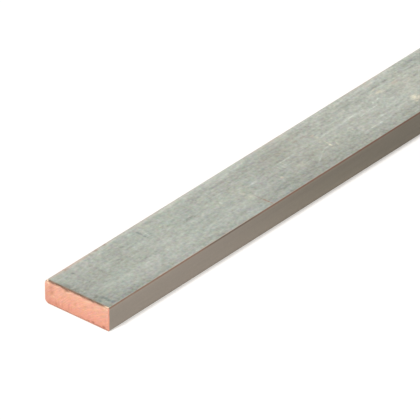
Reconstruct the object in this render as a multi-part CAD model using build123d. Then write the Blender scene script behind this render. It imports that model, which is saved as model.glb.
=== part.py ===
from build123d import *
import os

# Tinned copper flat bar, drawn to a flat section with rounded arrises and then sawn square to length.
# Millimetres. X runs along the bar, Y across its width and Z up through its thickness.
# The bar lies on one broad face, and the origin is the middle of that face.

# Section
bar_width = 30.0
bar_thickness = 10.0

# Rounding of the four long arrises: the front narrow face, at -Y, is crisp, and the back one is soft
front_arris_radius = 0.5
back_arris_radius = 2.0

# Length from sawn end to sawn end
bar_length = 1000.0

# Edge broken all round each sawn end, where the saw's burr was taken off
cut_edge_break = 0.3


def bar_section():
    """Closed outline of the section: its corners and their radii, going round from the front bottom."""
    front = -bar_width / 2
    back = bar_width / 2
    corners = [(front, 0), (back, 0), (back, bar_thickness), (front, bar_thickness)]
    radii = [front_arris_radius, back_arris_radius, back_arris_radius, front_arris_radius]
    return FilletPolyline(*corners, radius=radii, close=True)


def flat_bar():
    """The section carried along X, cut square at both ends, with the cut edges broken."""
    with BuildPart() as bar:
        with BuildSketch(Plane.YZ.offset(-bar_length / 2)):
            with BuildLine():
                bar_section()
            make_face()
        extrude(amount=bar_length)
        left_end, *_, right_end = bar.faces().sort_by(Axis.X)
        chamfer(left_end.edges() + right_end.edges(), cut_edge_break)
    return bar.part


os.makedirs("parts", exist_ok=True)
export_step(flat_bar(), "parts/flat_bar.step")
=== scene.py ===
import math

import bpy
import numpy as np
from mathutils import Matrix, Vector


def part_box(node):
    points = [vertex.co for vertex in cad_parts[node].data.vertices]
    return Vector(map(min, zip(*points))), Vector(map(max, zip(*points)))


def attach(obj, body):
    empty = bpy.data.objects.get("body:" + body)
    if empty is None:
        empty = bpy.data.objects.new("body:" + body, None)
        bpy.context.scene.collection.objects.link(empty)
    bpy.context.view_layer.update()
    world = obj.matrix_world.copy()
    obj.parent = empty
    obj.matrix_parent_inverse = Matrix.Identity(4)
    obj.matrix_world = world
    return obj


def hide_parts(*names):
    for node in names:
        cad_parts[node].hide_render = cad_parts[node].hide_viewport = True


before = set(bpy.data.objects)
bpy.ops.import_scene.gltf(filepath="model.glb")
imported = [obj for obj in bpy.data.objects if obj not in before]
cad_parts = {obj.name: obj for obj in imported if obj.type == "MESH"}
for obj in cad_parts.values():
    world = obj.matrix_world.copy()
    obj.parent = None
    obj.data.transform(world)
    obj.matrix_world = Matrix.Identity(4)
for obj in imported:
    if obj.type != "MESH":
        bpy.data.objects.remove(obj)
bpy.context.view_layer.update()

MM = 0.001

# The bar's box comes from the CAD part in model.glb. Its roundings and the broken edge of its sawn ends are
# the CAD part's.
BAR_LO, BAR_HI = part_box("flat_bar")
BAR_LENGTH_MM = (BAR_HI.x - BAR_LO.x) / MM
FRONT_RADIUS = 0.5 * MM
BACK_RADIUS = 2.0 * MM
CUT_BREAK = 0.3 * MM

# Camera: a long lens, from the front left and above. The aim is measured across the picture,
# from the bar's near bottom corner.
CAMERA_AZIMUTH = -49.755
CAMERA_ELEVATION = 31.952
CAMERA_DISTANCE = 2351.8 * MM
CAMERA_LENS = 575.66
AIM_RIGHT = 35.449 * MM
AIM_UP = 42.780 * MM

RANDOM_SEED = 7


# ---------------------------------------------------------------- the bar's skin

# Steps round the section. Both narrow sides, with their arcs, have the same number.
ARC_STEPS_FRONT = 5
ARC_STEPS_BACK = 8
FLAT_STEPS_FRONT = 36
FLAT_STEPS_BACK = 30
FLAT_STEPS_BROAD = 110
STEPS_UP = 2 * ARC_STEPS_BACK + FLAT_STEPS_BACK

# Spacing of the rings along the bar: close where a sawn end is near, and wide in the middle
CLOSE_STEP = 1.6 * MM
WIDE_STEP = 8 * MM
CLOSE_LENGTH_LEFT = 220 * MM
CLOSE_LENGTH_RIGHT = 30 * MM


def line_points(start, end, steps):
    """Points from start up to but not including end."""
    share = np.arange(steps)[:, None] / steps
    return np.array(start) * (1 - share) + np.array(end) * share


def arc_points(centre, radius, start_degrees, steps):
    """A quarter turn, anticlockwise, up to but not including its end."""
    angle = np.radians(start_degrees + 90 * np.arange(steps) / steps)
    return np.array(centre) + radius * np.stack([np.cos(angle), np.sin(angle)], axis=1)


def section_sides(inset):
    """The section's outline drawn in by inset, as (y, z) points: bottom, back, top and front."""
    y0, y1 = BAR_LO.y + inset, BAR_HI.y - inset
    z0, z1 = BAR_LO.z + inset, BAR_HI.z - inset
    rf, rb = FRONT_RADIUS - inset, BACK_RADIUS - inset
    bottom = line_points((y0 + rf, z0), (y1 - rb, z0), FLAT_STEPS_BROAD)
    back = np.vstack([
        arc_points((y1 - rb, z0 + rb), rb, 270, ARC_STEPS_BACK),
        line_points((y1, z0 + rb), (y1, z1 - rb), FLAT_STEPS_BACK),
        arc_points((y1 - rb, z1 - rb), rb, 0, ARC_STEPS_BACK),
    ])
    top = line_points((y1 - rb, z1), (y0 + rf, z1), FLAT_STEPS_BROAD)
    front = np.vstack([
        arc_points((y0 + rf, z1 - rf), rf, 90, ARC_STEPS_FRONT),
        line_points((y0, z1 - rf), (y0, z0 + rf), FLAT_STEPS_FRONT),
        arc_points((y0 + rf, z0 + rf), rf, 180, ARC_STEPS_FRONT),
    ])
    return bottom, back, top, front


def ring_places():
    """x of each ring between the two sawn ends' broken edges."""
    left = np.arange(BAR_LO.x + CUT_BREAK, BAR_LO.x + CLOSE_LENGTH_LEFT, CLOSE_STEP)
    middle = np.arange(left[-1] + WIDE_STEP, BAR_HI.x - CLOSE_LENGTH_RIGHT, WIDE_STEP)
    right = np.arange(BAR_HI.x - CUT_BREAK, middle[-1] + CLOSE_STEP, -CLOSE_STEP)[::-1]
    return np.concatenate([left, middle, right])


def end_grid(sides):
    """Points of a sawn end in rows from bottom to top, blended from its four sides."""
    bottom, back, top, front = sides
    low = np.vstack([bottom, back[:1]])
    high = np.vstack([top, front[:1]])[::-1]
    left = np.vstack([front, bottom[:1]])[::-1]
    right = np.vstack([back, top[:1]])
    u = np.linspace(0, 1, len(low))[None, :, None]
    v = np.linspace(0, 1, len(left))[:, None, None]
    between_low_high = low[None] * (1 - v) + high[None] * v
    between_left_right = left[:, None] * (1 - u) + right[:, None] * u
    corners = (low[0] * (1 - u) + low[-1] * u) * (1 - v) + (high[0] * (1 - u) + high[-1] * u) * v
    return between_low_high + between_left_right - corners


def ring_index(row, column):
    """Where a border point of the end grid sits in its ring."""
    if row == 0:
        return column
    if column == FLAT_STEPS_BROAD:
        return FLAT_STEPS_BROAD + row
    if row == STEPS_UP:
        return FLAT_STEPS_BROAD + STEPS_UP + FLAT_STEPS_BROAD - column
    return (2 * FLAT_STEPS_BROAD + 2 * STEPS_UP - row) % (2 * FLAT_STEPS_BROAD + 2 * STEPS_UP)


class Noise:
    """Random heights on a grid of whole numbers, blended smoothly between, from -1 to 1."""

    def __init__(self, rng, size=256):
        self.table = rng.uniform(-1, 1, (size, size))

    def __call__(self, u, v):
        n = len(self.table)
        iu, iv = np.floor(u).astype(int), np.floor(v).astype(int)
        fu, fv = u - iu, v - iv
        fu, fv = fu * fu * (3 - 2 * fu), fv * fv * (3 - 2 * fv)
        near = self.table[iu % n, iv % n] * (1 - fv) + self.table[iu % n, (iv + 1) % n] * fv
        far = self.table[(iu + 1) % n, iv % n] * (1 - fv) + self.table[(iu + 1) % n, (iv + 1) % n] * fv
        return near * (1 - fu) + far * fu


# Relief of the drawn faces, always inwards from the CAD part's surface: how deep, wide and long a line is.
# On the narrow faces the lines lie closer than on the broad ones, this many times.
DRAW_LINE_DEPTH = 0.03 * MM
DRAW_LINE_WIDTH = 0.8 * MM
DRAW_LINE_LENGTH = 60 * MM
NARROW_FACE_CLOSENESS = 3
# Relief of the sawn ends, inwards too. The right end has other scores than the left: it takes its relief
# from a place this far off.
SAW_DEPTH = 0.04 * MM
SAW_GRAIN_MM = 0.6
RIGHT_END_SHIFT = 50 * MM
# The saw's arcs: their centre, in millimetres from the front face and the underside, about how far it is,
# and how wide and long a score is
SAW_CENTRE = (-25.0, -45.0)
SAW_RADIUS = 64.0
SAW_PITCH = 0.9
SAW_RUN = 9.0
# How far the broken edge wanders along the bar, how long one turn of it is, and a row of the noise
# for each end
EDGE_WANDER = 0.16 * MM
EDGE_WANDER_STEP = 1.1 * MM
LEFT_WANDER_ROW = 3.5
RIGHT_WANDER_ROW = 11.5

# Material of each face, by its place in the skin's list
DRAWN, SAWN = 0, 1
SHARP_DEGREES = 30


def drawn_relief(noise, points, normals):
    """How deep each point of the drawn surface lies below the CAD part's, in long shallow lines."""
    along = points[:, 0] / DRAW_LINE_LENGTH
    # Underneath, the width is measured the other way
    across = points[:, 1] * np.sign(normals[:, 2] + 1e-9)
    round_section = (across + points[:, 2] * NARROW_FACE_CLOSENESS) / DRAW_LINE_WIDTH
    narrow_lines = noise(along, round_section)
    wide_lines = noise(along * 2.7 + 31, round_section * 0.37 + 17)
    lines = 0.6 * narrow_lines + 0.4 * wide_lines
    return DRAW_LINE_DEPTH * (0.5 + 0.5 * lines)


def sawn_relief(noise, grid):
    """How deep each point of a sawn end lies, in scores that follow the saw's arcs."""
    y = (grid[..., 0] - BAR_LO.y) / MM
    z = (grid[..., 1] - BAR_LO.z) / MM
    across, up = y - SAW_CENTRE[0], z - SAW_CENTRE[1]
    scores = noise(np.hypot(across, up) / SAW_PITCH, np.arctan2(up, across) * SAW_RADIUS / SAW_RUN)
    grain = noise(y / SAW_GRAIN_MM, z / SAW_GRAIN_MM)
    return SAW_DEPTH * (0.5 + 0.35 * scores + 0.15 * grain)


def outward(ring):
    """Unit normals of a closed outline of (y, z) points that runs anticlockwise."""
    step = np.roll(ring, -1, axis=0) - np.roll(ring, 1, axis=0)
    normal = np.stack([step[:, 1], -step[:, 0]], axis=1)
    return normal / np.linalg.norm(normal, axis=1, keepdims=True)


def skin_rings(noise):
    """Rings of points round the skin, from the left end's rim to the right end's."""
    outline = np.vstack(section_sides(0))
    rim = np.vstack(section_sides(CUT_BREAK))
    count = len(outline)
    normals = np.column_stack([np.zeros(count), outward(outline)])
    perimeter = np.cumsum(np.linalg.norm(np.diff(outline, axis=0, append=outline[:1]), axis=1))

    def wander(row):
        turns = noise(perimeter / EDGE_WANDER_STEP, np.full(count, row))
        return 0.5 * EDGE_WANDER + 0.5 * EDGE_WANDER * turns

    rings = [np.column_stack([np.full(count, BAR_LO.x), rim])]
    for x in ring_places():
        ring = np.column_stack([np.full(count, x), outline])
        rings.append(ring - normals * drawn_relief(noise, ring, normals)[:, None])
    rings.append(np.column_stack([np.full(count, BAR_HI.x), rim]))
    # The broken edge wanders a little where it meets the drawn surface
    rings[1][:, 0] += wander(LEFT_WANDER_ROW)
    rings[-2][:, 0] -= wander(RIGHT_WANDER_ROW)
    return rings


def side_faces(ring_count, count):
    """Quads between each ring and the next, and their materials. The outermost rows are broken edges."""
    faces, kinds = [], []
    for i in range(ring_count - 1):
        a, b = i * count, (i + 1) * count
        for j in range(count):
            k = (j + 1) % count
            faces.append((a + j, a + k, b + k, b + j))
        kinds += [SAWN if i in (0, ring_count - 2) else DRAWN] * count
    return faces, kinds


def end_faces(first_rim, first_inner, flipped):
    """Quads of a sawn end. The border of its grid is the rim's ring, and the points inside are its own."""
    index = np.zeros((STEPS_UP + 1, FLAT_STEPS_BROAD + 1), int)
    for row in range(STEPS_UP + 1):
        for column in range(FLAT_STEPS_BROAD + 1):
            if row in (0, STEPS_UP) or column in (0, FLAT_STEPS_BROAD):
                index[row, column] = first_rim + ring_index(row, column)
    inner = index[1:-1, 1:-1]
    inner[:] = first_inner + np.arange(inner.size).reshape(inner.shape)
    low, high = index[:-1], index[1:]
    quads = np.stack([low[:, :-1], low[:, 1:], high[:, 1:], high[:, :-1]], axis=-1).reshape(-1, 4)
    return (quads[:, ::-1] if flipped else quads).tolist()


def skin_mesh(name):
    """The whole skin as one closed mesh of quads, each with the material DRAWN or SAWN."""
    noise = Noise(np.random.default_rng(RANDOM_SEED))
    rings = skin_rings(noise)
    count = len(rings[0])
    faces, kinds = side_faces(len(rings), count)
    points = np.vstack(rings)
    last_rim = len(points) - count
    grid = end_grid(section_sides(CUT_BREAK))
    ends = (BAR_LO.x, 0, 1, 0), (BAR_HI.x, last_rim, -1, RIGHT_END_SHIFT)
    for x, first_rim, inwards, shift in ends:
        depth = sawn_relief(noise, grid + shift)[1:-1, 1:-1]
        sawn = end_faces(first_rim, len(points), flipped=inwards > 0)
        inner = np.column_stack([(x + inwards * depth).ravel(), grid[1:-1, 1:-1].reshape(-1, 2)])
        points = np.vstack([points, inner])
        faces += sawn
        kinds += [SAWN] * len(sawn)
    mesh = bpy.data.meshes.new(name)
    mesh.from_pydata(points.tolist(), [], faces)
    mesh.polygons.foreach_set("material_index", kinds)
    mesh.polygons.foreach_set("use_smooth", [True] * len(faces))
    mesh.set_sharp_from_angle(angle=math.radians(SHARP_DEGREES))
    return mesh


# ---------------------------------------------------------------- materials

class Graph:
    """A node tree built by calls that return sockets. A number or a colour may stand for a socket."""

    def __init__(self, tree):
        self.tree = tree
        tree.nodes.clear()

    def node(self, kind, inputs=(), **settings):
        """A new node, with its settings made and its inputs fed."""
        made = self.tree.nodes.new("ShaderNode" + kind)
        for key, value in settings.items():
            setattr(made, key, value)
        for key, value in dict(inputs).items():
            self.feed(made.inputs[key], value)
        return made

    def feed(self, socket, value):
        """Link a socket to value, or set it where value is a number or a colour."""
        if isinstance(value, bpy.types.NodeSocket):
            self.tree.links.new(value, socket)
        elif isinstance(value, (tuple, list)) and len(value) == 3 and socket.type == "RGBA":
            socket.default_value = (*value, 1)
        else:
            socket.default_value = value

    def calc(self, operation, a, b=0.0):
        """One step of arithmetic."""
        return self.node("Math", {0: a, 1: b}, operation=operation).outputs[0]

    def add(self, a, b):
        return self.calc("ADD", a, b)

    def multiply(self, a, b):
        return self.calc("MULTIPLY", a, b)

    def band(self, value, start, end, to_start=0.0, to_end=1.0):
        """value taken smoothly from start..end to to_start..to_end, and held beyond."""
        inputs = {"Value": value, "From Min": start, "From Max": end, "To Min": to_start, "To Max": to_end}
        return self.node("MapRange", inputs, interpolation_type="SMOOTHSTEP").outputs[0]

    def local(self, place, origin, lengths, turn=(0, 0, 0)):
        """place measured from origin, along axes turned by degrees, in units of a length for each axis."""
        inputs = {
            "Vector": place, "Location": origin, "Scale": lengths,
            "Rotation": tuple(math.radians(angle) for angle in turn),
        }
        return self.node("Mapping", inputs, vector_type="TEXTURE").outputs[0]

    def noise(self, place, lengths, detail=2.0, origin=(0, 0, 0)):
        """Noise from 0 to 1, with features of about these lengths."""
        inputs = {"Vector": self.local(place, origin, lengths), "Scale": 1.0, "Detail": detail}
        return self.node("TexNoise", inputs).outputs[0]

    def swing(self, noise, amount):
        """Noise as a change of amount either side of none."""
        return self.multiply(self.add(noise, -0.5), amount)

    def total(self, *values):
        """The sum of all the values."""
        result = values[0]
        for value in values[1:]:
            result = self.add(result, value)
        return result

    def marks(self, place, level, marks):
        """How strongly soft ovals cover each place. They lie at a level, and fade above and below it."""
        cover = 0.0
        for x, y, half_length, half_width, turn, strength in marks:
            local = self.local(place, (x, y, level), (half_length, half_width, MARK_REACH), (0, 0, turn))
            oval = self.node("TexGradient", {0: local}, gradient_type="SPHERICAL").outputs["Fac"]
            cover = self.node("Math", {0: oval, 1: strength, 2: cover}, operation="MULTIPLY_ADD").outputs[0]
        return cover

    def mix(self, factor, a, b):
        """Colour a where factor is 0, and b where it is 1."""
        made = self.node("Mix", data_type="RGBA", clamp_factor=True)
        for socket, value in zip((made.inputs[0], made.inputs[6], made.inputs[7]), (factor, a, b)):
            self.feed(socket, value)
        return made.outputs[2]

    def scale(self, colour, factor):
        """colour made brighter or darker."""
        return self.node("VectorMath", {0: colour, "Scale": factor}, operation="SCALE").outputs[0]

    def spread(self, colour, place, lengths, amount):
        """colour with a little of every hue scattered over it, in grains of about these lengths."""
        inputs = {"Vector": self.local(place, (0, 0, 0), lengths), "Scale": 1.0, "Detail": 1.0}
        hue = self.node("TexNoise", inputs).outputs["Color"]
        change = self.node("VectorMath", {0: hue, 1: (0.5, 0.5, 0.5)}, operation="SUBTRACT").outputs[0]
        change = self.scale(change, amount)
        return self.node("VectorMath", {0: change, 1: colour}, operation="ADD").outputs[0]


def bar_places(g):
    """Millimetres from the bar's left end, front face and underside, as a vector and as three numbers."""
    where = g.node("TexCoord").outputs["Object"]
    place = g.local(where, tuple(BAR_LO), (MM, MM, MM))
    return place, g.node("SeparateXYZ", {0: place}).outputs


def facing(g):
    """How far the surface faces along each of the bar's axes, from 0 to 1, with the sign left off."""
    normal = g.node("NewGeometry").outputs["Normal"]
    sizes = g.node("VectorMath", {0: normal}, operation="ABSOLUTE").outputs[0]
    return g.node("SeparateXYZ", {0: sizes}).outputs


def new_graph(name):
    """A new material, and the graph of its nodes."""
    material = bpy.data.materials.new(name)
    material.use_nodes = True
    return material, Graph(material.node_tree)


def finish_metal(g, colour, metallic, roughness, height, depth):
    """Shader and output of a metal, with a bump of this depth where height goes from 0 to 1."""
    bump = g.node("Bump", {"Height": height, "Distance": depth, "Strength": 1.0})
    shader = g.node("BsdfPrincipled", {
        "Base Color": colour, "Metallic": metallic, "Roughness": roughness, "Normal": bump.outputs[0],
    })
    g.node("OutputMaterial", {"Surface": shader.outputs[0]})


# Colours of the metals, as the share of light that they reflect
TIN = (0.411, 0.428, 0.375)
# The narrow faces' tin is darker and browner than the broad faces': partly their own duller tin, partly
# painted shade
TIN_NARROW_NEAR = (0.2165, 0.1832, 0.1472)
TIN_NARROW_FAR = (0.211, 0.181, 0.1355)
TIN_SHADED = (0.150, 0.152, 0.128)
TIN_STAINED = (0.13, 0.17, 0.17)
TIN_BURNISHED = (0.85, 0.92, 0.84)
TIN_YELLOWED = (0.88, 0.80, 0.60)
COPPER_THROUGH_TIN = (0.34, 0.19, 0.14)
COPPER_FLUSH = (0.62, 0.46, 0.37)
COPPER_WORN = (0.200, 0.116, 0.075)
COPPER_WORN_RED = (0.222, 0.112, 0.072)
COPPER_WORN_DARK = (0.125, 0.088, 0.062)
COPPER_RUBBED = (0.44, 0.375, 0.31)
COPPER_PALE = (0.80, 0.45, 0.33)
COPPER_SAWN = (0.795, 0.397, 0.279)
COPPER_SAWN_DULL = (0.650, 0.282, 0.200)
COPPER_STAINED = (0.46, 0.21, 0.135)
COPPER_DULL = (0.50, 0.18, 0.115)
# Pale copper for the painted highlights and painted light on the sawn ends
PAINTED_COPPER_HIGHLIGHT = (0.98, 0.72, 0.50)
COPPER_DARK_BROWN = (0.12, 0.07, 0.04)

# Marks on the upper face near the left end, in millimetres: where from the sawn end and the front face,
# half length and half width, degrees that the length is turned from the bar's own, and how strong.
# They lie on the upper face, and fade out this far above and below it.
MARK_REACH = 4.0
# Duller tin
SHADES = [
    (8.0, 15.0, 14.0, 16.0, 0, 0.24),
    (1.2, 18.5, 1.8, 9.0, 0, 0.50),
    (4.0, 16.5, 3.2, 5.0, 0, 0.16),
    (34.0, 16.0, 38.0, 7.0, 0, 0.20),
    (32.0, 22.6, 11.0, 1.6, 0, 0.16),
    (16.8, 18.5, 1.0, 6.0, 0, 0.28),
    (24.5, 22.0, 2.0, 1.2, 0, 0.15),
    (35.0, 16.2, 6.0, 1.0, -4, 0.12),
    (62.9, 16.5, 9.0, 0.8, 0, 0.17),
    (62.5, 18.2, 0.8, 1.6, -20, 0.17),
    (73.3, 13.0, 4.0, 0.6, 0, 0.10),
    (94.4, 23.9, 16.0, 0.8, 0, 0.17),
    (101.4, 5.0, 12.0, 3.4, 0, 0.15),
    (122.4, 3.0, 40.0, 7.5, 0, 0.24),
    (113.4, 21.5, 11.0, 5.0, 0, 0.18),
    (124.7, 12.0, 2.8, 1.8, 0, 0.15),
    (141.6, 12.8, 2.6, 1.6, 20, 0.15),
    (158.4, 23.8, 6.0, 1.8, 0, 0.28),
    (168.0, 22.0, 10.0, 0.5, 0, 0.20),
    (160.6, 18.2, 11.0, 0.5, 0, 0.20),
    (168.6, 4.0, 14.0, 3.0, 0, 0.12),
    (181.8, 17.0, 6.0, 2.2, 0, 0.12),
    (40.0, 1.2, 60.0, 1.6, 0, 0.12),
    (2.0, 8.0, 4.6, 2.8, 0, 0.58),
    (2.0, 3.2, 3.5, 1.6, 0, 0.18),
    (64.5, 17.0, 11.0, 2.4, -3, 0.32),
    (69.0, 9.7, 14.0, 1.5, 0, 0.28),
    (79.0, 4.6, 10.0, 1.6, 0, 0.26),
    (69.0, 23.6, 14.0, 2.2, 0, 0.24),
    (35.5, 22.2, 7.0, 1.3, 0, 0.20),
    (26.5, 17.2, 5.5, 3.6, 0, 0.24),
    (118.0, 27.0, 9.0, 1.4, 0, 0.28),
    (117.0, 23.7, 12.0, 1.9, 0, 0.20),
    (115.5, 8.9, 7.0, 1.3, 0, 0.25),
    (165.0, 28.6, 10.0, 1.4, 0, 0.20),
    (165.0, 23.2, 11.0, 2.2, 0, 0.22),
    (142.0, 8.5, 13.0, 2.0, 0, 0.28),
    (170.5, 0.8, 6.0, 1.8, 0, 0.32),
    (144.3, 17.4, 4.5, 2.4, 0, 0.22),
    (125.5, 10.5, 5.0, 2.8, 0, 0.20),
    (134.0, 5.9, 6.0, 1.2, 0, 0.22),
    (27.5, 24.0, 5.5, 1.6, 0, 0.22),
    (56.0, 2.6, 6.5, 1.5, 0, 0.20),
    (99.0, 8.0, 6.0, 1.9, 0, 0.16),
    (14.5, 17.6, 6.0, 1.3, 0, 0.18),
    (154.5, 4.2, 9.0, 1.1, 0, 0.20),
    (168.0, 29.2, 20.0, 1.0, 0, 0.22),
    (71.0, 9.0, 12.0, 8.0, 0, 0.07),
    (120.0, 12.5, 9.0, 6.0, 0, 0.07),
    (125.0, 23.5, 6.0, 3.5, 0, 0.08),
    (176.0, 4.0, 10.0, 4.0, 0, 0.11),
]
# Blue-grey stains, the largest of them next to the sawn end
STAINS = [
    (4.0, 4.2, 1.3, 4.2, 0, 0.80),
    (1.5, 5.5, 1.2, 1.5, 0, 0.65),
    (9.1, 24.4, 0.8, 1.7, -8, 0.42),
    (44.0, 23.8, 1.0, 2.0, -6, 0.62),
    (43.9, 20.6, 0.6, 2.8, 0, 0.46),
    (46.9, 21.8, 0.5, 2.6, 0, 0.32),
    (73.9, 23.9, 1.1, 0.9, 0, 0.50),
    (76.3, 23.9, 0.7, 0.8, 0, 0.40),
    (73.3, 26.0, 0.3, 2.4, 0, 0.20),
    (74.7, 26.0, 0.3, 2.4, 0, 0.20),
    (77.1, 26.0, 0.3, 2.4, 0, 0.20),
    (90.4, 8.0, 0.35, 3.6, 0, 0.20),
    (25.4, 28.4, 1.4, 1.2, 0, 0.62),
    (30.4, 28.6, 1.2, 1.2, 0, 0.55),
]
# Tin rubbed bright, in scratches and in broad soft bands
RUBS = [
    (32.0, 7.0, 26.0, 6.0, 0, 0.10),
    (74.0, 8.5, 40.0, 6.0, 0, 0.15),
    (95.4, 14.5, 9.0, 5.0, 0, 0.08),
    (170.8, 17.0, 50.0, 12.0, 0, 0.13),
    (11.3, 9.8, 4.8, 0.9, -4, 0.20),
    (31.8, 9.0, 1.8, 0.6, 0, 0.24),
    (37.5, 19.3, 6.0, 0.5, 0, 0.16),
    (42.5, 9.0, 0.5, 1.6, 0, 0.25),
    (45.5, 21.5, 0.4, 2.2, 0, 0.36),
    (68.1, 14.4, 1.6, 1.0, 20, 0.20),
    (78.5, 15.0, 0.9, 1.3, -20, 0.45),
    (82.3, 18.4, 2.6, 2.2, 0, 0.14),
    (95.0, 25.8, 1.2, 0.7, 0, 0.30),
    (98.9, 26.3, 7.0, 0.5, 0, 0.20),
    (95.9, 14.8, 3.2, 1.0, 6, 0.22),
    (110.4, 14.5, 0.3, 3.4, 0, 0.34),
    (112.0, 14.5, 0.3, 3.4, 0, 0.34),
    (113.6, 14.5, 0.3, 3.2, 0, 0.32),
    (116.0, 16.3, 7.0, 0.4, 0, 0.26),
    (123.4, 16.3, 18.0, 0.45, 0, 0.17),
    (138.8, 16.6, 3.0, 0.8, 0, 0.20),
    (149.0, 16.6, 15.0, 1.2, 0, 0.24),
    (154.4, 17.0, 4.5, 0.5, 2, 0.40),
    (161.3, 17.0, 1.9, 0.5, 0, 0.30),
    (167.9, 17.2, 0.9, 0.6, 10, 0.60),
    (170.4, 17.6, 1.6, 0.6, 10, 0.45),
    (162.6, 9.3, 2.0, 0.7, 0, 0.35),
    (125.0, 7.0, 5.4, 0.45, 28, 0.20),
    (129.4, 9.5, 3.0, 0.4, 14, 0.24),
    (132.6, 10.3, 2.6, 0.4, 4, 0.26),
    (159.0, 14.6, 3.0, 0.4, 4, 0.40),
    (164.8, 15.0, 4.0, 0.4, 0, 0.40),
    (174.8, 13.8, 2.4, 1.2, 20, 0.24),
    (162.6, 8.9, 4.5, 0.5, 0, 0.26),
    (174.3, 8.4, 4.5, 0.5, 0, 0.22),
    (158.1, 6.3, 9.0, 0.45, 0, 0.28),
    (153.9, 6.4, 1.2, 0.5, 0, 0.30),
    (159.2, 6.3, 1.0, 0.5, 0, 0.35),
    (189.8, 20.4, 3.0, 0.9, 0, 0.22),
    (193.8, 23.6, 6.0, 0.7, 0, 0.24),
    (178.0, 26.9, 3.0, 1.2, 0, 0.26),
    (12.0, 11.5, 10.0, 1.7, 0, 0.18),
    (3.0, 25.6, 5.0, 1.5, 0, 0.14),
    (48.0, 0.8, 15.0, 1.6, 0, 0.26),
    (82.0, 1.2, 12.0, 2.0, 0, 0.22),
    (92.0, 26.3, 13.0, 1.9, 0, 0.18),
    (112.5, 20.2, 7.0, 1.7, 0, 0.13),
    (48.0, 12.4, 13.0, 2.0, 0, 0.17),
    (52.0, 7.2, 10.0, 1.3, 0, 0.11),
    (178.0, 26.7, 18.0, 1.7, 0, 0.14),
    (178.0, 11.0, 11.0, 1.8, 0, 0.15),
    (133.0, 17.0, 9.0, 1.6, 0, 0.08),
    (146.0, 26.0, 13.0, 1.3, 0, 0.14),
    (164.5, 26.8, 7.0, 1.4, 0, 0.18),
    (131.0, 28.0, 6.0, 1.3, 0, 0.12),
    (70.0, 0.8, 6.0, 1.6, 0, 0.15),
    (29.0, 0.8, 5.5, 1.5, 0, 0.14),
    (121.0, 25.4, 4.5, 1.2, 0, 0.14),
    (173.0, 13.4, 5.0, 1.4, 0, 0.10),
    (82.5, 19.6, 6.0, 1.6, 0, 0.08),
    (16.0, 16.0, 9.0, 12.0, 0, 0.04),
    (186.0, 11.0, 8.0, 5.0, 0, 0.08),
    (186.0, 25.5, 7.0, 5.0, 0, 0.08),
    (124.0, 29.2, 14.0, 1.0, 0, 0.15),
    (66.0, 28.2, 62.0, 1.0, 0, 0.16),
    (180.9, 8.3, 2.4, 1.8, 20, 0.35),
]
# Yellowed spots
YELLOWED = [
    (88.5, 13.0, 1.4, 1.4, 0, 0.28),
    (88.8, 9.6, 3.0, 2.2, 0, 0.18),
    (106.2, 9.4, 1.0, 1.0, 0, 0.55),
    (116.9, 9.2, 4.2, 2.4, 0, 0.18),
    (134.9, 10.7, 0.55, 1.5, 0, 0.80),
    (135.2, 12.2, 0.4, 1.8, 0, 0.50),
    (137.2, 9.2, 0.45, 1.7, -25, 0.45),
    (135.5, 17.3, 0.9, 1.0, 0, 0.30),
    (148.4, 11.0, 0.7, 0.8, 0, 0.35),
    (150.6, 8.0, 1.6, 0.9, 0, 0.20),
    (171.6, 21.0, 3.0, 1.2, -8, 0.22),
    (175.4, 20.3, 2.6, 1.6, 0, 0.42),
    (175.0, 23.0, 2.0, 0.6, 10, 0.40),
    (180.9, 8.3, 2.8, 2.1, 20, 0.78),
    (182.0, 6.6, 2.2, 1.9, 0, 0.42),
    (179.6, 6.0, 1.4, 1.2, 0, 0.40),
    (188.8, 19.0, 14.0, 8.0, 0, 0.09),
]
# Nicks and a scratch where copper shows through the tin
COPPER_SHOWS = [
    (90.3, 3.7, 0.55, 2.4, 0, 0.90),
    (90.4, 1.6, 0.5, 2.2, 0, 0.85),
    (90.2, 7.4, 0.4, 2.6, 0, 0.32),
    (62.1, 12.8, 0.9, 0.7, 0, 0.30),
    (62.1, 9.0, 1.1, 0.8, 0, 0.22),
    (117.9, 21.0, 5.5, 2.0, 0, 0.15),
    (110.4, 20.5, 6.0, 3.5, 0, 0.12),
    (127.9, 21.5, 1.9, 0.9, 0, 0.38),
    (132.6, 21.3, 2.2, 0.8, 0, 0.24),
    (8.8, 27.9, 2.0, 1.0, 0, 0.60),
    (15.6, 27.6, 0.9, 0.6, 0, 0.50),
    (22.3, 28.2, 0.8, 0.5, 0, 0.50),
    (25.4, 28.4, 1.4, 1.2, 0, 0.50),
    (30.4, 28.6, 1.2, 1.2, 0, 0.50),
]
# A flush of copper where the tin is thin
COPPER_TINTS = [
    (135.4, 19.5, 1.2, 0.9, 0, 0.50),
    (175.3, 21.0, 1.8, 1.2, 0, 0.15),
    (184.4, 20.5, 2.6, 1.2, 0, 0.50),
    (178.0, 26.8, 1.8, 0.8, 0, 0.25),
    (176.3, 26.4, 3.0, 1.4, 0, 0.30),
    (95.0, 25.8, 0.9, 0.5, 0, 0.35),
    (106.0, 9.2, 0.6, 0.8, 0, 0.40),
    (142.0, 13.0, 50.0, 20.0, 0, 0.07),
    (184.0, 13.0, 15.0, 22.0, 0, 0.08),
    (124.0, 26.5, 16.0, 5.0, 0, 0.08),
    (86.0, 7.5, 18.0, 7.0, 0, 0.06),
    (12.0, 28.7, 24.0, 1.6, 0, 0.80),
    (50.0, 28.7, 50.0, 1.4, 0, 0.35),
    (122.0, 28.7, 24.0, 1.5, 0, 0.32),
    (176.0, 28.7, 22.0, 1.5, 0, 0.38),
]


# Places in the finish are in millimetres from the left end, the front face and the underside.
# The middle of the width, and the upper face:
MIDDLE_Y = 15.0
TOP_Z = 10.0
# Where the tin of the narrow faces turns from its near colour to its far one, along the bar
NARROW_TURN = (50.0, 130.0)
# The strip worn to copper below the front arris: where it sets in and where it ends, on the way up
WORN_FROM = (9.10, 9.40)
WORN_TO = (9.80, 9.90)
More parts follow.
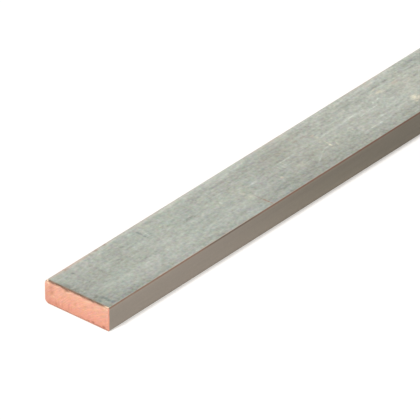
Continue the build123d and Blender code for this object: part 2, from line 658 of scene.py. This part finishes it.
# Where the worn copper turns redder along the bar, and the stretch where it is darkest
REDDER = (60.0, 130.0)
DARKEST_FROM = (48.0, 60.0)
DARKEST_TO = (86.0, 74.0)
# Next to a sawn end the tin is browned: where that sets in and where it is strongest
BROWNED = (1.1, 0.4)

TIN_METALLIC = 0.3
TIN_ROUGHNESS = 0.62
TIN_ROUGHNESS_NARROW = 0.5
TIN_BUMP = 0.03 * MM


def tin_noises(g, place):
    """The noises in the tin's finish, by name, from the longest features to the smallest."""
    return {
        "longest": g.noise(place, (260, 6, 6)),
        "long_lines": g.noise(place, (260, 3, 3), origin=(1, 4, 2)),
        "patches": g.noise(place, (70, 8, 8), origin=(3, 5, 1)),
        "drawn_lines": g.noise(place, (30, 0.3, 0.3), origin=(5, 3, 7)),
        "streaks": g.noise(place, (20, 1.6, 1.6), origin=(6, 2, 8)),
        "wear": g.noise(place, (7, 1, 1), 3.0),
        "strokes": g.noise(place, (6, 1.4, 1.4), origin=(7, 1, 4)),
        "flecks": g.noise(place, (2.4, 1.4, 1.4), origin=(2, 9, 5)),
        "ragged": g.noise(place, (1.6, 0.8, 0.8), origin=(2, 8, 3)),
        "grain": g.noise(place, (1.2, 1.1, 1.1), 1.0),
    }


def broad_tone_and_painted_highlight(g, noises, x, y):
    """How bright the tin of a broad face is, as a share of its usual brightness, with a painted highlight
    along its back edge.
    """
    # Along the back edge a painted highlight, weaker near the left end; towards the front edge, darker
    painted_back_highlight = g.multiply(g.band(y, 26.0, 28.8, 0.0, 0.20), g.band(x, 20.0, 60.0, 0.3, 1.0))
    edges = g.add(g.band(y, 2.6, 0.3, 0.0, -0.09), painted_back_highlight)
    lines = g.total(
        g.swing(noises["long_lines"], 0.36), g.swing(noises["streaks"], 0.30),
        g.swing(noises["drawn_lines"], 0.32),
    )
    specks = g.total(
        g.swing(noises["strokes"], 0.42), g.swing(noises["flecks"], 0.52), g.swing(noises["grain"], 0.52),
    )
    return g.total(
        1.0, edges, g.swing(noises["longest"], 0.42), g.multiply(lines, g.band(y, 8.0, 26.0, 0.65, 0.9)),
        g.swing(noises["patches"], 0.48), g.multiply(specks, g.band(x, 100.0, 170.0, 1.0, 1.25)),
    )


def narrow_tone_and_painted_light(g, noises, x, z):
    """How bright the tin of a narrow face is, as a share of its usual brightness, with painted light and
    painted shade in bands along it.
    """
    # All along, it is brighter below and above than halfway up: painted light, from the floor below and
    # from above
    below = g.band(z, 4.0, 1.0, 0.0, 0.08)
    above = g.band(z, 5.5, 8.5, 0.0, 0.03)
    # Near the left end, a painted highlight runs along the upper edge
    painted_highlight_near_end = g.multiply(g.band(z, 8.3, 8.8, 0.0, 0.10), g.band(x, 60.0, 20.0))
    # Up to about 150 mm, a band of painted shade lies above the middle, and painted light from the floor
    # brightens the part below it
    painted_shade_band = g.multiply(g.band(z, 5.2, 7.0, 0.0, -0.085), g.band(z, 8.8, 8.1))
    middle_stretch = g.multiply(g.band(x, 35.0, 95.0), g.band(x, 152.0, 138.0))
    middle = g.multiply(g.add(painted_shade_band, g.band(z, 4.8, 1.8, 0.0, 0.05)), middle_stretch)
    # From about 100 mm on, both edges carry a painted highlight
    edges = g.add(g.band(z, 2.8, 0.8, 0.0, 0.14), g.band(z, 8.1, 8.9, 0.0, 0.07))
    painted_edge_highlights = g.multiply(edges, g.band(x, 95.0, 135.0))
    # Between about 90 and 130 mm, all of it is a little darker
    duller = g.multiply(g.band(x, 84.0, 102.0, 0.0, -0.022), g.band(x, 138.0, 122.0))
    return g.total(
        1.015, below, above, g.swing(noises["longest"], 0.10), g.swing(noises["strokes"], 0.12),
        g.swing(noises["grain"], 0.12), g.swing(noises["drawn_lines"], 0.18), painted_highlight_near_end, middle, painted_edge_highlights,
        duller,
    )


def broad_colour(g, noises, place, x, y):
    """Tin of a broad face, with its marks, browned next to the sawn ends."""
    colour = g.spread(g.scale(TIN, broad_tone_and_painted_highlight(g, noises, x, y)), place, (1.2, 1.2, 1.2), 0.11)
    colour = g.spread(colour, place, (14, 14, 14), 0.025)
    uneven = g.band(noises["ragged"], 0.3, 0.65, 0.5, 1.25)
    for marks, metal in (
        (SHADES, TIN_SHADED), (STAINS, TIN_STAINED), (RUBS, TIN_BURNISHED), (YELLOWED, TIN_YELLOWED),
        (COPPER_TINTS, COPPER_FLUSH), (COPPER_SHOWS, COPPER_THROUGH_TIN),
    ):
        colour = g.mix(g.multiply(g.marks(place, TOP_Z, marks), uneven), colour, metal)
    from_end = g.calc("MINIMUM", x, g.calc("SUBTRACT", BAR_LENGTH_MM, x))
    browned = g.band(g.add(from_end, g.swing(noises["ragged"], 0.9)), *BROWNED, 0.0, 0.5)
    return g.mix(browned, colour, COPPER_WORN)


def worn_arrises(g, colour, wear, places, facings):
    """colour with the wear of the long edges: bright tin and brown copper in front, pale copper behind."""
    x, y, z = places
    _, ny, nz = facings
    front = g.calc("LESS_THAN", y, MIDDLE_Y)
    # The front arris is rubbed bright on top, less so near the left end and far from it
    rubbed = g.multiply(g.band(nz, 0.999, 0.97), g.band(z, *WORN_TO))
    rubbed = g.multiply(rubbed, g.band(wear, 0.35, 0.65, 0.2, 1.0))
    rubbed = g.multiply(rubbed, g.band(x, 0.0, 30.0, 0.1, 1.0))
    rubbed = g.multiply(rubbed, g.band(x, 60.0, 100.0, 1.0, 0.6))
    # Just below, it is worn down to brown copper
    worn = g.multiply(g.band(z, *WORN_FROM), g.band(z, *reversed(WORN_TO)))
    worn = g.multiply(worn, g.band(wear, 0.2, 0.5, 0.6, 1.0))
    worn_metal = g.mix(g.band(x, *REDDER), COPPER_WORN, COPPER_WORN_RED)
    darkest = g.multiply(g.band(x, *DARKEST_FROM), g.band(x, *DARKEST_TO))
    worn_metal = g.mix(darkest, worn_metal, COPPER_WORN_DARK)
    # The back arrises are worn where they face halfway between the broad face and the narrow one
    back_wear = g.multiply(g.band(g.multiply(ny, nz), 0.3, 0.5), g.band(wear, 0.38, 0.65, 0.0, 0.55))
    back_wear = g.multiply(back_wear, g.band(x, 20.0, 45.0, 1.0, 0.4))
    colour = g.mix(g.multiply(rubbed, front), colour, COPPER_RUBBED)
    colour = g.mix(g.multiply(worn, front), colour, worn_metal)
    return g.mix(g.multiply(back_wear, g.calc("SUBTRACT", 1.0, front)), colour, COPPER_PALE)


def tinned_material():
    """Tin over copper: streaks along the bar, stains, rubs and grain, and copper along its worn arrises."""
    material, g = new_graph("tinned_face")
    place, (x, y, z) = bar_places(g)
    facings = facing(g)
    narrow = g.band(facings[1], 0.5, 0.95)
    noises = tin_noises(g, place)
    longest, strokes = noises["longest"], noises["strokes"]
    narrow_tin = g.mix(g.band(x, *NARROW_TURN), TIN_NARROW_NEAR, TIN_NARROW_FAR)
    # The narrow faces' colour carries painted light and painted shade
    narrow_colour = g.scale(narrow_tin, narrow_tone_and_painted_light(g, noises, x, z))
    colour = g.mix(narrow, broad_colour(g, noises, place, x, y), narrow_colour)
    colour = worn_arrises(g, colour, noises["wear"], (x, y, z), facings)
    usual_roughness = g.band(narrow, 0.0, 1.0, TIN_ROUGHNESS, TIN_ROUGHNESS_NARROW)
    roughness = g.total(usual_roughness, g.swing(strokes, 0.25), g.swing(longest, 0.2))
    height = g.total(
        g.multiply(strokes, 0.5), g.multiply(noises["grain"], 0.3), g.multiply(noises["drawn_lines"], 0.4),
    )
    finish_metal(g, colour, TIN_METALLIC, roughness, height, TIN_BUMP)
    return material


# Marks on both sawn ends, written as those above, in millimetres from the front face and the underside.
# Dull copper
END_DULL = [
    (26.3, 5.6, 1.8, 1.2, -35, 0.62),
    (26.9, 7.4, 1.7, 1.0, -35, 0.55),
    (24.6, 2.2, 0.5, 2.0, -10, 0.35),
    (23.2, 2.6, 0.4, 1.8, -8, 0.35),
    (21.6, 2.0, 0.4, 1.6, 0, 0.30),
    (18.6, 2.4, 0.5, 2.2, 0, 0.45),
    (17.4, 2.6, 0.4, 1.8, 0, 0.30),
    (24.5, 1.4, 4.2, 1.2, 0, 0.35),
    (15.6, 4.8, 1.0, 0.8, 0, 0.28),
    (13.4, 5.9, 0.8, 0.8, 0, 0.20),
    (3.2, 8.4, 1.2, 0.8, 0, 0.20),
    (7.5, 6.8, 1.2, 0.6, -20, 0.16),
    (20.2, 8.4, 0.8, 1.0, 0, 0.40),
    (1.6, 4.0, 0.6, 2.2, 0, 0.20),
    (7.3, 1.1, 1.2, 0.7, 0, 1.00),
    (2.3, 1.1, 1.1, 0.8, 0, 1.00),
]
# Painted highlights of pale copper: glints at the upper corners and along the upper edge, and bright specks
# and streaks on the face
END_PAINTED_HIGHLIGHTS = [
    (28.2, 8.9, 0.9, 0.7, 0, 1.00),
    (29.4, 8.9, 0.7, 0.9, 0, 0.60),
    (24.0, 8.9, 1.6, 0.5, -10, 0.45),
    (2.0, 9.2, 0.9, 0.6, 0, 0.95),
    (0.8, 8.9, 0.6, 0.5, 0, 0.90),
    (0.7, 6.5, 0.3, 0.9, 0, 0.40),
    (25.6, 4.1, 0.8, 0.35, -20, 0.55),
    (22.6, 2.2, 0.5, 0.6, 0, 0.40),
    (18.3, 8.7, 2.8, 0.5, -20, 0.55),
    (14.0, 8.9, 2.6, 0.5, -14, 0.45),
    (9.4, 8.6, 3.0, 0.5, -14, 0.40),
    (5.6, 8.4, 2.4, 0.4, -20, 0.35),
    (23.5, 6.0, 3.2, 1.0, -10, 0.22),
    (6.0, 7.2, 3.0, 0.8, -24, 0.18),
]
# Dark marks: burr along the lower edge, and spots in the dark band along the upper one
END_BURR = [
    (7.3, 1.0, 1.0, 0.45, 0, 0.50),
    (2.3, 1.0, 0.9, 0.5, 0, 0.50),
    (12.5, 1.0, 1.6, 0.4, 0, 0.35),
    (9.6, 0.9, 1.2, 0.4, 0, 0.55),
    (19.0, 0.6, 1.8, 0.4, 0, 0.25),
    (4.8, 0.8, 1.8, 0.35, 0, 0.45),
    (19.3, 9.2, 1.8, 0.8, -4, 0.80),
    (26.0, 9.7, 2.0, 0.4, 0, 0.45),
]


def saw_places(g, y, z):
    """Distance from the saw's centre and distance round it, in millimetres, as a vector."""
    across = g.add(y, -SAW_CENTRE[0])
    up = g.add(z, -SAW_CENTRE[1])
    radius = g.calc("SQRT", g.add(g.multiply(across, across), g.multiply(up, up)))
    angle = g.calc("ARCTAN2", up, across)
    return g.node("CombineXYZ", {0: radius, 1: g.multiply(angle, SAW_RADIUS)}).outputs[0]


# Heights on a sawn end, in millimetres: where the dark band along the upper edge is brown, and where dark
LIP_BROWN = (8.9, 9.4)
LIP_DARK = (9.4, 9.65)

SAWN_METALLIC = 0.5
SAWN_ROUGHNESS = 0.5
SAWN_BUMP = 0.05 * MM


def sawn_colour(g, saw_place, end_place, z, scores, fine_scores, ragged):
    """Copper of a sawn end: duller in patches, darker near its lower edge with painted shade and a ragged
    stain, and paler near its upper one with painted light.
    """
    patches = g.noise(saw_place, (1.8, 6.0, 1.0), origin=(9, 2, 0))
    grain = g.noise(end_place, (0.35, 0.35, 1.0), 1.0, origin=(2, 7, 0))
    tone = g.total(
        1.0, g.swing(scores, 0.10), g.swing(fine_scores, 0.50), g.swing(ragged, 0.20), g.swing(grain, 0.30),
    )
    colour = g.mix(g.band(patches, 0.05, 0.50), COPPER_SAWN_DULL, COPPER_SAWN)
    colour = g.spread(g.scale(colour, tone), saw_place, (0.8, 2.4, 1.0), 0.14)
    # Painted shade: darker towards the lower edge
    colour = g.mix(g.band(z, 4.5, 0.5, 0.0, 0.60), colour, COPPER_SAWN_DULL)
    # Painted light: paler towards the upper edge
    colour = g.mix(g.band(z, 5.0, 9.0, 0.0, 0.14), colour, PAINTED_COPPER_HIGHLIGHT)
    lowest = g.add(z, g.swing(ragged, 1.2))
    colour = g.mix(g.band(lowest, 1.1, 0.2, 0.0, 0.8), colour, COPPER_STAINED)
    for marks, metal in ((END_DULL, COPPER_DULL), (END_PAINTED_HIGHLIGHTS, PAINTED_COPPER_HIGHLIGHT), (END_BURR, COPPER_DARK_BROWN)):
        colour = g.mix(g.marks(end_place, 0.0, marks), colour, metal)
    return colour


def sawn_material():
    """Bare copper: scored in the saw's arcs, dull in patches, with a dark wavy band along its upper edge.
    """
    material, g = new_graph("sawn_face")
    _, (_, y, z) = bar_places(g)
    nx, _, nz = facing(g)
    end_place = g.node("CombineXYZ", {0: y, 1: z}).outputs[0]
    saw_place = saw_places(g, y, z)
    scores = g.noise(saw_place, (SAW_PITCH, SAW_RUN, 1.0))
    fine_scores = g.noise(saw_place, (0.22, 7.0, 1.0), origin=(3, 1, 0))
    ragged = g.noise(end_place, (1.5, 0.9, 1.0), origin=(4, 4, 0))
    colour = sawn_colour(g, saw_place, end_place, z, scores, fine_scores, ragged)

    # A dark wavy band runs along the upper edge, and thins out near both corners
    lip = g.noise(end_place, (3.0, 3.0, 1.0), origin=(6, 1, 0))
    inside = g.multiply(g.band(y, 28.8, 27.0), g.band(y, 0.6, 6.5, 0.25, 1.0))
    height = g.total(z, g.swing(ragged, 1.0), g.swing(lip, 1.2))
    colour = g.mix(g.multiply(g.band(height, *LIP_BROWN, 0.0, 0.55), inside), colour, COPPER_STAINED)
    colour = g.mix(g.multiply(g.band(height, *LIP_DARK, 0.0, 0.75), inside), colour, COPPER_DARK_BROWN)

    # The broken edge is darker than the end, and darkest along the upper edge; near the upper corners it
    # turns to a painted highlight
    broken = g.band(nx, 0.95, 0.85)
    upper = g.multiply(g.calc("GREATER_THAN", z, TOP_Z / 2), g.band(nz, 0.66, 0.70))
    lip_colour = g.mix(g.band(lip, 0.40, 0.60), COPPER_DARK_BROWN, COPPER_WORN)
    upper_rim = g.mix(g.band(inside, 0.0, 0.5), PAINTED_COPPER_HIGHLIGHT, lip_colour)
    rim = g.mix(g.band(nz, 0.2, 0.6), COPPER_SAWN_DULL, COPPER_WORN)
    colour = g.mix(broken, colour, g.mix(upper, rim, upper_rim))
    relief = g.add(scores, g.multiply(fine_scores, 0.5))
    finish_metal(g, colour, SAWN_METALLIC, SAWN_ROUGHNESS, relief, SAWN_BUMP)
    return material


# ---------------------------------------------------------------- floor, light and camera

# The floor is a wide square. Where a ray shows it, it also glows, so that it is as white as the world
# except in the bar's shadow.
FLOOR_HALF = 8.0
FLOOR_ALBEDO = 0.62
FLOOR_GLOW = (0.46, 0.44, 0.42)
# The world lights the object this strongly, and is seen as white
SKY_AMBIENT = 0.2
SKY_SEEN = 1.0
# The key light comes from this direction: high, from the left. Angles are in degrees.
KEY_DIRECTION = (-0.6, 0.085, 0.79)
KEY_STRENGTH = 3.0
KEY_ANGLE = 9
# The spot's place and aim, from the bar's near bottom corner
SPOT_FROM_CORNER = (5 * MM, -250 * MM, 30 * MM)
SPOT_AIM_FROM_CORNER = (5 * MM, 0, 5 * MM)
SPOT_CONE = 72
SPOT_RADIUS = 35 * MM
SPOT_POWER = 1.75
# The nearest and the farthest that the camera sees
CLIP_START, CLIP_END = 0.05, 50


def seen_rays(g):
    """1 for a ray that shows the surface, straight or in gloss or glass, and 0 for one that lights."""
    path = g.node("LightPath").outputs
    shown = g.calc("MAXIMUM", path["Is Camera Ray"], path["Is Glossy Ray"])
    return g.calc("MAXIMUM", shown, path["Is Transmission Ray"])


def make_floor():
    """The pale level floor that the bar lies on, which keeps its shadow."""
    corners = [(-1, -1), (1, -1), (1, 1), (-1, 1)]
    mesh = bpy.data.meshes.new("floor")
    mesh.from_pydata([(FLOOR_HALF * x, FLOOR_HALF * y, 0) for x, y in corners], [], [(0, 1, 2, 3)])
    floor = bpy.data.objects.new("floor", mesh)
    bpy.context.scene.collection.objects.link(floor)
    material, g = new_graph("floor")
    diffuse = g.node("BsdfDiffuse", {"Color": (FLOOR_ALBEDO,) * 3})
    glow = g.node("Emission", {"Color": FLOOR_GLOW, "Strength": seen_rays(g)})
    both = g.node("AddShader", {0: diffuse.outputs[0], 1: glow.outputs[0]})
    g.node("OutputMaterial", {"Surface": both.outputs[0]})
    mesh.materials.append(material)


def make_world():
    """Soft light from all round, and a white background."""
    world = bpy.data.worlds.new("studio")
    bpy.context.scene.world = world
    world.use_nodes = True
    g = Graph(world.node_tree)
    strength = g.band(seen_rays(g), 0.0, 1.0, SKY_AMBIENT, SKY_SEEN)
    sky = g.node("Background", {"Color": (1, 1, 1), "Strength": strength})
    g.node("OutputWorld", {"Surface": sky.outputs[0]})


def place_lamp(lamp, direction):
    """Put a lamp in the scene, turned so that its light comes from a direction."""
    lamp.rotation_mode = "QUATERNION"
    lamp.rotation_quaternion = Vector(direction).to_track_quat("Z", "Y")
    bpy.context.scene.collection.objects.link(lamp)


def make_spot():
    """A soft spot low in front of the bar, near its left end, which brightens the front face there."""
    data = bpy.data.lights.new("front", "SPOT")
    data.energy = SPOT_POWER
    data.shadow_soft_size = SPOT_RADIUS
    data.spot_size = math.radians(SPOT_CONE)
    data.spot_blend = 1.0
    lamp = bpy.data.objects.new("front", data)
    lamp.location = BAR_LO + Vector(SPOT_FROM_CORNER)
    place_lamp(lamp, Vector(SPOT_FROM_CORNER) - Vector(SPOT_AIM_FROM_CORNER))


def make_key():
    """The key light, as from a soft box far away."""
    data = bpy.data.lights.new("key", "SUN")
    data.energy = KEY_STRENGTH
    data.angle = math.radians(KEY_ANGLE)
    place_lamp(bpy.data.objects.new("key", data), KEY_DIRECTION)


def make_camera():
    """The photo's view. right, back and up are the camera's own axes."""
    azimuth, elevation = math.radians(CAMERA_AZIMUTH), math.radians(CAMERA_ELEVATION)
    level = math.cos(elevation)
    right = Vector((math.cos(azimuth), math.sin(azimuth), 0))
    back = Vector((math.sin(azimuth) * level, -math.cos(azimuth) * level, math.sin(elevation)))
    up = back.cross(right)
    data = bpy.data.cameras.new("camera")
    data.lens = CAMERA_LENS
    data.clip_start = CLIP_START
    data.clip_end = CLIP_END
    camera = bpy.data.objects.new("camera", data)
    place = BAR_LO + right * AIM_RIGHT + up * AIM_UP + back * CAMERA_DISTANCE
    turn = Matrix((right, up, back)).transposed().to_4x4()
    camera.matrix_world = Matrix.Translation(place) @ turn
    bpy.context.scene.collection.objects.link(camera)
    bpy.context.scene.camera = camera


def make_bar():
    """The skin that stands for the CAD bar, in its two materials."""
    bar = bpy.data.objects.new("flat_bar_skin", skin_mesh("flat_bar_skin"))
    bpy.context.scene.collection.objects.link(bar)
    bar.data.materials.append(tinned_material())
    bar.data.materials.append(sawn_material())
    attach(bar, "root")
    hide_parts("flat_bar")


make_bar()
make_floor()
make_world()
make_key()
make_spot()
make_camera()
bpy.context.scene.view_settings.view_transform = "Standard"
